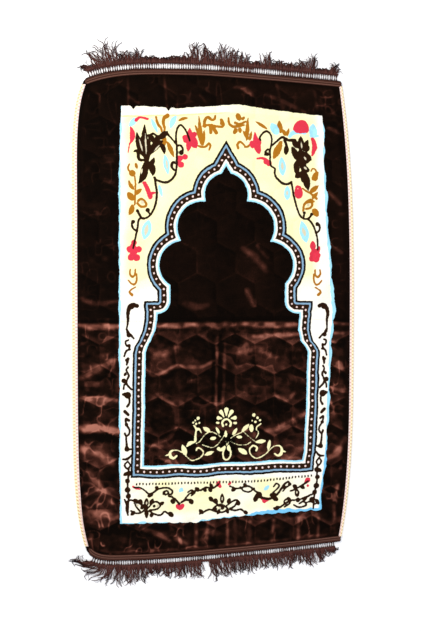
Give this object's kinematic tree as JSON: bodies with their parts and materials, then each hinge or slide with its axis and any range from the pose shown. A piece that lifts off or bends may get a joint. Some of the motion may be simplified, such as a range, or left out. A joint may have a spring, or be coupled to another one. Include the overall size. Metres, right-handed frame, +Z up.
{
  "type": "prayer rug",
  "caption": "Quilted velvet prayer rug lying flat, with a printed arch panel, overlocked side edges and a braid heading and strand fringe at each end.",
  "frame": {"origin": "on the surface the rug lies on, under the middle of the whole rug's box, fringes included", "axes": "+Z up out of the pile, +Y along the rug's length towards the arch's point, +X across it to the right"},
  "size_m": [0.689, 1.3208, 0.0094],
  "materials": {
    "velvet": "dark brown printed velvet, quilted",
    "overlock_thread": "cream and gold overlock thread",
    "braid_tape": "ribbed reddish brown braid tape",
    "fringe_yarn": "dark plum brown fringe yarn"
  },
  "bodies": {
    "root": {"rug_pad": "velvet", "side_binding_left": "overlock_thread", "side_binding_right": "overlock_thread", "heading_top": "braid_tape", "heading_bottom": "braid_tape", "fringe_top": "fringe_yarn", "fringe_bottom": "fringe_yarn"}
  },
  "joints": []
}
